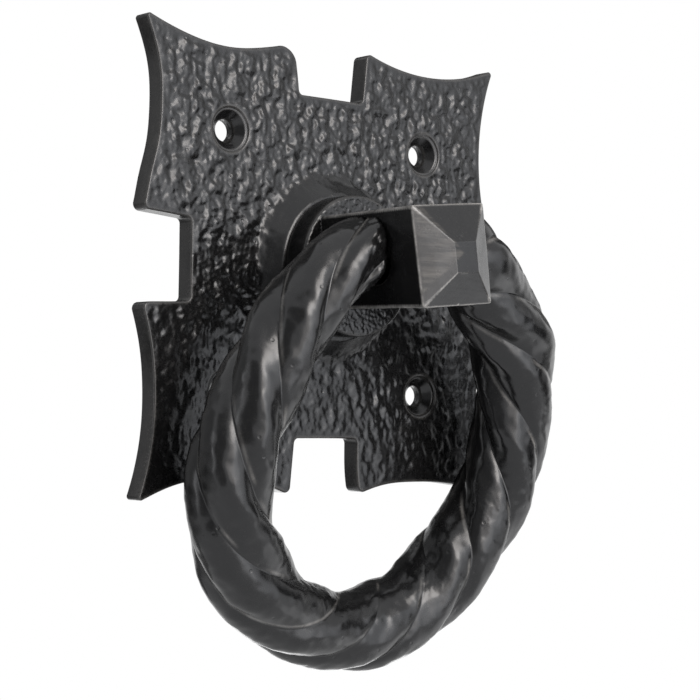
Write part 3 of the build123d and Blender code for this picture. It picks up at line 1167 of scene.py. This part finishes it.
@dataclass
class TwistedRing:
    """Open oval of four twisted strands with a pintle at each end, one casting."""

    half_width: float = 39.8
    half_height: float = 43.0
    drop: float = 40.7
    end_reach: float = 11.2
    inner_reach: float = 10.0
    strands: int = 4
    strand_radius: float = 6.0
    strand_offset: float = 3.4
    twist_pitch: float = 77.6
    twist_start: float = 22.0
    tight_turn: float = 46.0
    tight_start: float = 100.0
    tight_length: float = 45.0
    left_taper_length: float = 68.0
    left_taper: float = 0.91
    left_set_in: float = 3.7
    left_tip_drop: float = 0.5
    left_tip_back: float = 2.4
    right_taper_length: float = 16.0
    right_taper: float = 0.97
    end_round: float = 0.9
    square_length: float = 14.0
    pintle_radius: float = 4.2
    pintle_length: float = 7.5
    pintle_round: float = 0.5
    rough_length: float = 10.0
    turn: float = 1.5
    tilt: float = 14.6
    post_turn: float = 5.5
    pivot: tuple = (0.0, 1.0, 31.35)
    row_spacing: float = 0.42
    around: int = 160
    oval_steps: int = 6000
    lump_height: float = 1.9
    lump_size: float = 9.0
    lump_stretch: float = 2.2
    lump_sink: float = 0.55
    ripple_height: float = 0.60
    ripple_size: float = 4.0
    # How much the inner creases are filled below and opened at the right, and the middle and spread of each
    inner_fill: float = 0.65
    fill_clock: tuple = (-85.0, 32.0)
    inner_open: float = 0.45
    open_clock: tuple = (15.0, 28.0)
    # Place and width of the painted highlight beside each crease, as shares of a strand
    lip_place: float = 1.12
    lip_width: float = 0.09
    crease_change: float = 1.1
    crease_size: float = 13.0
    rough_height: float = 2.0
    rough_size: float = 1.8
    scuff_height: float = 0.24
    scuff_size: float = 0.9
    noise_shift: float = 0.2
    scuffs: tuple = (
        Scuff(250.0, 165.0, 6.5), Scuff(268.0, 160.0, 4.5), Scuff(268.0, 75.0, 2.0), Scuff(300.0, 150.0, 4.5),
        Scuff(336.0, 120.0, 4.0), Scuff(352.0, 95.0, 2.5), Scuff(12.0, 70.0, 3.5), Scuff(24.0, 60.0, 2.5),
    )
    swells: tuple = (
        Swell(66.0, 2.6, 0.0, 6.0), Swell(48.0, -1.2, 0.6), Swell(35.0, 1.7), Swell(12.0, -0.4),
        Swell(-2.0, -0.4), Swell(-22.0, -0.3), Swell(-36.0, -0.8), Swell(-42.0, 0.0, 1.8), Swell(-74.0, 0.6),
        Swell(-104.0, -0.8), Swell(-140.0, 0.6), Swell(-154.0, 0.3, 0.5), Swell(-172.0, 0.0, -0.5),
    )
    # Strong painted highlight beside the creases
    finish: PaintFinish = PaintFinish(
        "twisted_black_paint", smooth_roughness=0.14, dull_roughness=0.34, mottle_size=5.0, grain_depth=0.005,
        painted_edge_highlight_share=0.8)

    def spine(self) -> dict:
        """Rows of the sweep from the right end to the left one, with what each row needs."""
        first = math.acos(self.inner_reach / self.half_width)
        angles = np.linspace(first, -math.pi - first, self.oval_steps)
        oval = np.column_stack([
            self.half_width * np.cos(angles), self.half_height * np.sin(angles) - self.drop])
        travel = travel_along(oval)
        total = travel[-1]
        rows = np.linspace(0.0, total, round(total / self.row_spacing) + 1)
        flat = np.column_stack([np.interp(rows, travel, oval[:, axis]) for axis in range(2)])
        along = np.gradient(flat, axis=0)
        along /= np.linalg.norm(along, axis=1)[:, None]
        outward = np.column_stack([-along[:, 1], along[:, 0]])
        right = smooth_step(rows / self.right_taper_length)
        left = smooth_step((total - rows) / self.left_taper_length)
        taper = self.right_taper + (1 - self.right_taper) * right
        taper = taper * (self.left_taper + (1 - self.left_taper) * left)
        set_in = self.left_tip_drop * (1 - left) + self.left_set_in * 4 * left * (1 - left)
        flat = flat - outward * set_in[:, None]
        tight = self.tight_turn * fade(rows, self.tight_start, self.tight_length)
        twist = np.radians(self.twist_start - tight) - 2 * math.pi * rows / self.twist_pitch
        spine = np.column_stack([flat, -self.left_tip_back * (1 - left)])
        rough = smooth_step(1.0 - (total - rows) / self.rough_length)
        keep = (np.abs(flat[:, 0]) > self.end_reach) | (flat[:, 1] < -self.drop)
        clock = np.degrees(np.arctan2(
            (flat[:, 1] + self.drop) / self.half_height, flat[:, 0] / self.half_width))
        outer, inner = np.zeros(len(rows)), np.zeros(len(rows))
        for swell in self.swells:
            near = hump(np.mod(clock - swell.clock + 180.0, 360.0) - 180.0, swell.spread)
            outer += swell.outer * near
            inner += swell.inner * near
        fill_middle, fill_spread = self.fill_clock
        open_middle, open_spread = self.open_clock
        fill = self.inner_fill * hump(clock - fill_middle, fill_spread)
        fill -= self.inner_open * hump(clock - open_middle, open_spread)
        rows = {"spine": spine, "outward": outward, "taper": taper, "twist": twist, "rough": rough,
                "travel": rows, "outer": outer, "inner": inner, "fill": fill}
        return self.square_ends({name: values[keep] for name, values in rows.items()})

    def square_ends(self, rows: dict) -> dict:
        """Stand the last rows upright, so that each end is flat, and round the ends' rims."""
        spine, outward = rows["spine"], rows["outward"]
        upper = spine[:, 1] > -self.drop
        to_end = np.where(upper, np.abs(spine[:, 0]) - self.end_reach, self.square_length)
        slant = smooth_step(to_end / self.square_length)[:, None]
        outward = outward * slant + np.array([0.0, 1.0]) * (1 - slant)
        outward /= np.linalg.norm(outward, axis=1)[:, None]
        edge = self.end_round - np.clip(to_end, 0.0, self.end_round)
        loss = self.end_round - np.sqrt(self.end_round ** 2 - edge ** 2)
        taper = rows["taper"] - loss / (self.strand_radius + self.strand_offset)
        return rows | {"outward": outward, "taper": taper, "pintle": np.zeros(len(spine))}

    def with_pintles(self, rows: dict) -> dict:
        """Add the rows of both end faces and pintles to the rows of the strands."""
        whole = {name: [values] for name, values in rows.items()}
        for end in RingEnd:
            edge = 0 if end is RingEnd.RIGHT else -1
            reach = end.value * self.end_reach
            tip = end.value * (self.end_reach - self.pintle_length)
            middle, taper = rows["spine"][edge], rows["taper"][edge]
            steps = [
                ((reach, middle[1] / 2, middle[2] / 2), (1.0 + taper) / 2, 0.5),
                ((reach, 0.0, 0.0), 1.0, 1.0),
                (((reach + tip) / 2, 0.0, 0.0), 1.0, 1.0),
                ((tip + end.value * self.pintle_round, 0.0, 0.0), 1.0, 1.0),
                ((tip, 0.0, 0.0), 1.0 - self.pintle_round / self.pintle_radius, 1.0),
            ]
            extra = {name: np.zeros(len(steps)) for name in ("rough", "outer", "inner", "fill")}
            extra |= {
                "spine": np.array([place for place, _, _ in steps]),
                "outward": np.tile(rows["outward"][edge], (len(steps), 1)),
                "taper": np.array([share for _, share, _ in steps]),
                "twist": np.full(len(steps), rows["twist"][edge]),
                "travel": np.full(len(steps), rows["travel"][edge]),
                "pintle": np.array([pintle for _, _, pintle in steps]),
            }
            for name, values in extra.items():
                if end is RingEnd.RIGHT:
                    whole[name].insert(0, values[::-1])
                else:
                    whole[name].append(values)
        return {name: np.concatenate(values) for name, values in whole.items()}

    def build(self) -> bpy.types.Object:
        """Sweep the strands along the ring and turn it to its place on the post."""
        rows = self.with_pintles(self.spine())
        paint = self.finish.material()
        count = len(rows["spine"])
        line = bpy.data.meshes.new("ring_spine")
        line.from_pydata(rows["spine"] * MM, [(row, row + 1) for row in range(count - 1)], [])
        marks = {
            Mark.SPINE: rows["spine"] * MM, Mark.OUTWARD: np.column_stack([rows["outward"], np.zeros(count)]),
            Mark.TAPER: rows["taper"], Mark.TWIST: rows["twist"], Mark.PINTLE: rows["pintle"],
            Mark.TIP: rows["rough"], Mark.TRAVEL: rows["travel"] * MM, Mark.SWELL: rows["outer"] * MM,
            Mark.INNER_SWELL: rows["inner"] * MM, Mark.FILL: rows["fill"],
        }
        for mark, values in marks.items():
            set_mark(line, mark, values)
        piece = link("rope_twisted_ring", line)
        run_tree(piece, twisted_sweep_tree(self.around, self.strands), {
            "Strand Radius": self.strand_radius * MM, "Strand Offset": self.strand_offset * MM,
            "Pintle Radius": self.pintle_radius * MM, "Lump Height": self.lump_height * MM,
            "Lump Size": self.lump_size * MM, "Lump Stretch": self.lump_stretch,
            "Lump Sink": self.lump_sink * MM, "Ripple Height": self.ripple_height * MM,
            "Ripple Size": self.ripple_size * MM, "Crease Change": self.crease_change,
            "Crease Size": self.crease_size * MM, "Lip Place": self.lip_place, "Lip Width": self.lip_width,
            "Rough Height": self.rough_height * MM, "Rough Size": self.rough_size * MM, "Material": paint})
        self.mark(piece.data)
        run_tree(piece, bpy.data.node_groups["Uneven Skin"], {
            "Relief Height": 0.0, "Relief Size": MM, "Relief Stretch": 1.0,
            "Grain Height": self.scuff_height * MM, "Grain Size": self.scuff_size * MM,
            "Shift": self.noise_shift, "Material": paint})
        self.place(piece.data)
        return piece

    def mark(self, mesh: bpy.types.Mesh) -> None:
        """Say where the ring is granular, while it still lies in its own plane."""
        points = own_points(mesh)
        reach = self.strand_radius + self.strand_offset
        grain = np.zeros(len(points))
        for scuff in self.scuffs:
            clock, side = math.radians(scuff.clock), math.radians(scuff.side)
            out = np.array([math.cos(clock), math.sin(clock), 0.0])
            middle = out * np.array([self.half_width, self.half_height, 0.0])
            middle[1] -= self.drop
            patch = middle + reach * (out * math.cos(side) + np.array([0.0, 0.0, math.sin(side)]))
            grain = np.maximum(grain, hump(np.linalg.norm(points - patch, axis=1), scuff.spread))
        set_mark(mesh, Mark.GRAIN, grain)

    def place(self, mesh: bpy.types.Mesh) -> None:
        """Turn the finished ring from its own plane to the frame and close it up."""
        pivot = Matrix.Rotation(math.radians(self.post_turn), 4, "Z") @ Vector(self.pivot)
        hang = Matrix.Translation(pivot * MM) @ Matrix.Rotation(math.radians(self.turn), 4, "Z")
        hang = hang @ Matrix.Rotation(math.radians(self.tilt), 4, "X")
        wall = Matrix(((1, 0, 0, 0), (0, 0, -1, 0), (0, 1, 0, 0), (0, 0, 0, 1)))
        mesh.transform(wall @ hang)
        weld(mesh)

    def dress(self) -> None:
        """Build the ring and put it on its body."""
        piece = self.build()
        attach(piece, "ring")
        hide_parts("twisted_ring")
        LOG.info("%s: %d faces", piece.name, len(piece.data.polygons))


def twisted_sweep_tree(around: int, strands: int) -> bpy.types.NodeTree:
    """Tree that sweeps a bundle of round strands along a spine, twisted and tapered as its rows say.

    Args:
        around: number of points round the bundle.
        strands: number of strands in it.

    Returns:
        The geometry tree.
    """
    nodes, size, out = geometry_tree("Twisted Sweep", [
        "Strand Radius", "Strand Offset", "Pintle Radius", "Lump Height", "Lump Size", "Lump Stretch",
        "Lump Sink", "Ripple Height", "Ripple Size", "Crease Change", "Crease Size", "Rough Height",
        "Rough Size", "Lip Place", "Lip Width"])
    broken_from, broken_to = -0.06, 0.10
    half_strand = math.pi / strands

    # Tube of points that know how far round the bundle they are
    curve = nodes.add("GeometryNodeMeshToCurve", {0: size["Geometry"]})
    ring = nodes.add("GeometryNodeCurvePrimitiveCircle", {"Resolution": around, "Radius": MM})
    count = nodes.math("DIVIDE", nodes.add("GeometryNodeInputIndex").outputs[0], float(around))
    marked = nodes.store(ring.outputs[0], Mark.AROUND, count)
    tube = nodes.add("GeometryNodeCurveToMesh", {
        "Curve": curve.outputs[0], "Profile Curve": marked, "Fill Caps": True})
    angle = nodes.times(nodes.stored(Mark.AROUND), 2 * math.pi)
    turned = nodes.plus(angle, nodes.stored(Mark.TWIST))
    outside = nodes.math("COSINE", turned)
    outer_share = nodes.math("MAXIMUM", outside, 0.0)
    inner_share = nodes.math("MAXIMUM", nodes.times(outside, -1.0), 0.0)

    # Creases between the strands, which vary along each strand and are filled on the inside
    whole = nodes.plus(size["Strand Offset"], size["Strand Radius"])
    along = nodes.math("DIVIDE", nodes.stored(Mark.TRAVEL), size["Lump Stretch"])
    on_strand = nodes.joined(nodes.times(nodes.math("COSINE", angle), whole),
                             nodes.times(nodes.math("SINE", angle), whole), along)
    change = nodes.times(nodes.noise(on_strand, size["Crease Size"], 0.0), size["Crease Change"])
    filled = nodes.times(nodes.stored(Mark.FILL), inner_share)
    change = nodes.times(nodes.plus(change, 1.0), nodes.less(1.0, filled))
    offset = nodes.times(size["Strand Offset"], change)
    radius = nodes.less(whole, offset)

    # Reach of a strand's surface from the middle of the bundle, or of the pintle's
    within = nodes.math("PINGPONG", angle, half_strand)
    sine = nodes.times(nodes.math("SINE", within), offset)
    cosine = nodes.times(nodes.math("COSINE", within), offset)
    root = nodes.math("SQRT", nodes.less(nodes.times(radius, radius), nodes.times(sine, sine)))
    pintle = nodes.stored(Mark.PINTLE)
    strand_share = nodes.less(1.0, pintle)
    reach = nodes.plus(nodes.times(nodes.plus(cosine, root), strand_share),
                       nodes.times(size["Pintle Radius"], pintle))
    reach = nodes.times(reach, nodes.stored(Mark.TAPER))
    sideways = nodes.scaled(nodes.stored(Mark.OUTWARD, True), outside)
    direction = nodes.vector_math("ADD", sideways, nodes.joined(0.0, 0.0, nodes.math("SINE", turned)))
    surface = nodes.vector_math("ADD", nodes.stored(Mark.SPINE, True), nodes.scaled(direction, reach))

    # Lumps, ripples, a torn tip, a sunk underside and swells, on the strands only
    lumps = nodes.noise(on_strand, size["Lump Size"], 0.5)
    ripples = nodes.noise(surface, size["Ripple Size"], 1.0)
    tears = nodes.times(nodes.noise(surface, size["Rough Size"], 3.0, 0.6), size["Rough Height"])
    facing = nodes.add("ShaderNodeSeparateXYZ", {0: direction}).outputs[1]
    downward = nodes.math("MAXIMUM", nodes.times(facing, -1.0), 0.0)
    swollen = nodes.plus(nodes.times(nodes.stored(Mark.SWELL), outer_share),
                         nodes.times(nodes.stored(Mark.INNER_SWELL), inner_share))
    uneven = nodes.plus(nodes.times(lumps, size["Lump Height"]), nodes.times(ripples, size["Ripple Height"]))
    uneven = nodes.plus(uneven, nodes.times(tears, nodes.stored(Mark.TIP)))
    uneven = nodes.plus(nodes.less(uneven, nodes.times(downward, size["Lump Sink"])), swollen)
    push = nodes.scaled(direction, nodes.times(uneven, strand_share))
    moved = nodes.add("GeometryNodeSetPosition", {
        "Geometry": tube.outputs[0], "Position": nodes.vector_math("ADD", surface, push)})

    # Painted highlight on the lip beside each crease, broken here and there
    past_crest = nodes.math("DIVIDE", nodes.math("MODULO", angle, 2 * half_strand), half_strand)
    off_lip = nodes.math("ABSOLUTE", nodes.less(past_crest, size["Lip Place"]))
    lip = nodes.math("MAXIMUM", nodes.less(1.0, nodes.math("DIVIDE", off_lip, size["Lip Width"])), 0.0)
    broken = nodes.ramp(nodes.noise(surface, size["Lump Size"], 1.0), broken_from, broken_to)
    lip_highlight = nodes.times(nodes.times(lip, broken), strand_share)
    end_tree(nodes, size["Material"], nodes.store(moved.outputs[0], Mark.EDGE, lip_highlight), out[0])
    return nodes.tree


@dataclass
class RivetWasher:
    """Plain washer behind the plate, kept as the frame has it."""

    finish: SteelFinish = SteelFinish("washer_grey_steel")

    def dress(self) -> None:
        """Give the washer its steel."""
        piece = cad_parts["rivet_washer"]
        piece.data.materials.clear()
        piece.data.materials.append(self.finish.material())
        LOG.info("%s: kept from the frame", piece.name)


def toward(azimuth: float, elevation: float) -> Vector:
    """Direction from the pull, by its turn from straight ahead and its rise, in degrees."""
    turn, rise = math.radians(azimuth), math.radians(elevation)
    return Vector((math.sin(turn) * math.cos(rise), -math.cos(turn) * math.cos(rise), math.sin(rise)))


def flat_card(name: str, corners: list) -> tuple:
    """A four-cornered card with its own material.

    Args:
        name: name of the card and of its material.
        corners: places of the corners in metres, in order.

    Returns:
        The card, the short calls for its material's nodes, its shader and the socket of its surface.
    """
    mesh = bpy.data.meshes.new(name)
    mesh.from_pydata(corners, [], [(0, 1, 2, 3)])
    material, nodes, shader = new_material(name)
    mesh.materials.append(material)
    return link(name, mesh), nodes, shader, nodes.tree.nodes["Material Output"].inputs["Surface"]


@dataclass(frozen=True)
class Softbox:
    """One soft lamp, by the direction that it stands in as seen from the pull."""

    name: str
    azimuth: float
    elevation: float
    distance: float
    width: float
    height: float
    radiance: float
    color: tuple = (1.0, 1.0, 1.0)

    def light(self, aim: Vector) -> None:
        """Stand the lamp in its place, facing the pull."""
        away = toward(self.azimuth, self.elevation)
        lamp = bpy.data.lights.new(self.name, "AREA")
        lamp.shape = "RECTANGLE"
        lamp.size = self.width
        lamp.size_y = self.height
        lamp.color = self.color
        lamp.energy = self.radiance * self.width * self.height * LAMP_WATTS
        stand = link(self.name, lamp)
        stand.location = aim + away * self.distance
        stand.rotation_mode = "QUATERNION"
        stand.rotation_quaternion = (-away).to_track_quat("-Z", "Y")
        stand.visible_camera = False


@dataclass(frozen=True)
class DarkCard:
    """One dim side of the room, which only reflections show, by its direction from the pull."""

    name: str
    azimuth: float
    elevation: float
    distance: float
    width: float
    height: float
    level: float
    blocks_lamps: bool = False

    def stand(self, aim: Vector) -> None:
        """Stand the card in its place, facing the pull."""
        away = toward(self.azimuth, self.elevation)
        across = away.cross(Vector((0.0, 0.0, 1.0))).normalized() * (self.width / 2)
        upward = across.cross(away).normalized() * (self.height / 2)
        middle = aim + away * self.distance
        corners = [middle - across - upward, middle + across - upward, middle + across + upward,
                   middle - across + upward]
        card, nodes, _, surface = flat_card(self.name, corners)
        nodes.feed(surface, nodes.glow(self.level))
        for ray in ("camera", "diffuse", "transmission", "volume_scatter"):
            setattr(card, "visible_" + ray, False)
        card.visible_shadow = self.blocks_lamps


@dataclass
class Studio:
    """White room, soft lamps, pale floor and the camera of the photograph."""

    camera_azimuth: float = -40.73
    camera_elevation: float = -1.88
    camera_roll: float = 0.78
    camera_distance: float = 429.2
    camera_target: tuple = (6.66, -4.35, -17.99)
    focal_pixels: float = 1913.0
    sensor: float = 36.0
    room_light: float = 0.55
    floor_drop: float = 1200.0
    floor_size: float = 8000.0
    floor_color: tuple = (0.8, 0.8, 0.8, 1.0)
    floor_roughness: float = 0.9
    nearest_view: float = 10.0
    lamps: tuple = (
        Softbox("front_softbox", -4.0, 10.0, 1.2, 0.60, 1.00, 1.25, (1.0, 0.93, 0.87)),
        Softbox("bright_core", 3.0, 25.0, 1.15, 0.50, 0.64, 5.4, (1.0, 0.94, 0.88)),
        Softbox("right_side", 96.0, 0.0, 1.3, 0.30, 0.8, 0.3),
        Softbox("front_fade", 12.0, 2.0, 1.25, 0.60, 1.2, 1.0),
        Softbox("right_softbox", 24.0, 4.0, 1.3, 1.0, 1.1, 0.5, (0.96, 0.99, 1.04)),
        Softbox("right_wide", 34.0, 2.0, 1.35, 1.2, 1.2, 0.12, (0.96, 0.99, 1.04)),
        Softbox("right_low", 66.0, -36.0, 1.3, 0.9, 0.5, 0.5),
        Softbox("low_rim", 140.0, -28.0, 1.4, 0.8, 0.35, 1.4),
        Softbox("left_strip", -100.0, 0.0, 1.2, 0.20, 0.6, 1.2),
    )
    cards: tuple = (
        DarkCard("camera_side", -60.0, 4.0, 1.5, 1.40, 1.6, 0.30),
        DarkCard("left_back", -130.0, 2.0, 1.5, 1.3, 1.8, 0.42),
        DarkCard("right_dim", 70.0, 6.0, 1.6, 0.56, 1.6, 0.50),
        DarkCard("left_low", -139.0, -12.0, 1.45, 0.7, 0.35, 0.12),
        DarkCard("behind_right", 138.0, 40.0, 1.6, 2.2, 1.8, 0.10),
        DarkCard("behind_left", -164.0, 0.0, 1.6, 0.9, 2.4, 0.25),
        DarkCard("right_flag", 52.7, -5.1, 0.22, 0.072, 0.095, 0.0, True),
    )

    def set_camera(self) -> None:
        """Put the camera where the photograph was taken from."""
        turn, roll = math.radians(self.camera_azimuth), math.radians(self.camera_roll)
        back = toward(self.camera_azimuth, self.camera_elevation)
        level = Vector((math.cos(turn), math.sin(turn), 0.0))
        up = back.cross(level)
        right = level * math.cos(roll) + up * math.sin(roll)
        top = up * math.cos(roll) - level * math.sin(roll)
        lens = bpy.data.cameras.new("photo_camera")
        lens.sensor_width = self.sensor
        lens.lens = self.focal_pixels * self.sensor / IMAGE_SIZE
        lens.clip_start = self.nearest_view * MM
        stand = link("photo_camera", lens)
        place = Matrix((right, top, back)).transposed().to_4x4()
        place.translation = (Vector(self.camera_target) + back * self.camera_distance) * MM
        stand.matrix_world = place
        bpy.context.scene.camera = stand

    def set_room(self) -> None:
        """Light the room evenly, and show it white wherever it is looked at."""
        world = bpy.data.worlds.new("white_room")
        bpy.context.scene.world = world
        world.use_nodes = True
        nodes = NodeTree(world.node_tree)
        background = world.node_tree.nodes["Background"]
        nodes.feed(background.inputs["Color"], WHITE)
        strength = nodes.ramp(nodes.looked_at(), 0.0, 1.0, self.room_light, 1.0)
        nodes.feed(background.inputs["Strength"], strength)

    def set_floor(self) -> None:
        """Lay a pale floor below the pull, white where it is looked at."""
        half = self.floor_size / 2 * MM
        level = -self.floor_drop * MM
        corners = [(-half, -half, level), (half, -half, level), (half, half, level), (-half, half, level)]
        floor, nodes, matt, surface = flat_card("pale_floor", corners)
        nodes.feed(matt.inputs["Base Color"], self.floor_color)
        nodes.feed(matt.inputs["Roughness"], self.floor_roughness)
        mix = nodes.add("ShaderNodeMixShader", {0: nodes.looked_at(), 1: matt.outputs[0], 2: nodes.glow(1.0)})
        nodes.feed(surface, mix.outputs[0])

    def set_up(self) -> None:
        """Set the camera, room, floor and lamps."""
        bpy.context.scene.view_settings.view_transform = "Standard"
        self.set_camera()
        self.set_room()
        self.set_floor()
        aim = Vector(self.camera_target) * MM
        for lamp in self.lamps:
            lamp.light(aim)
        for card in self.cards:
            card.stand(aim)
        LOG.info("studio: %d lamps, %d cards", len(self.lamps), len(self.cards))


def main() -> None:
    """Build every piece and the studio round them."""
    logging.basicConfig(level=logging.INFO, format="%(name)s %(message)s")
    uneven_skin_tree()
    Backplate().dress()
    HippedPost().dress()
    TwistedRing().dress()
    RivetWasher().dress()
    Studio().set_up()


if __name__ == "__main__":
    main()
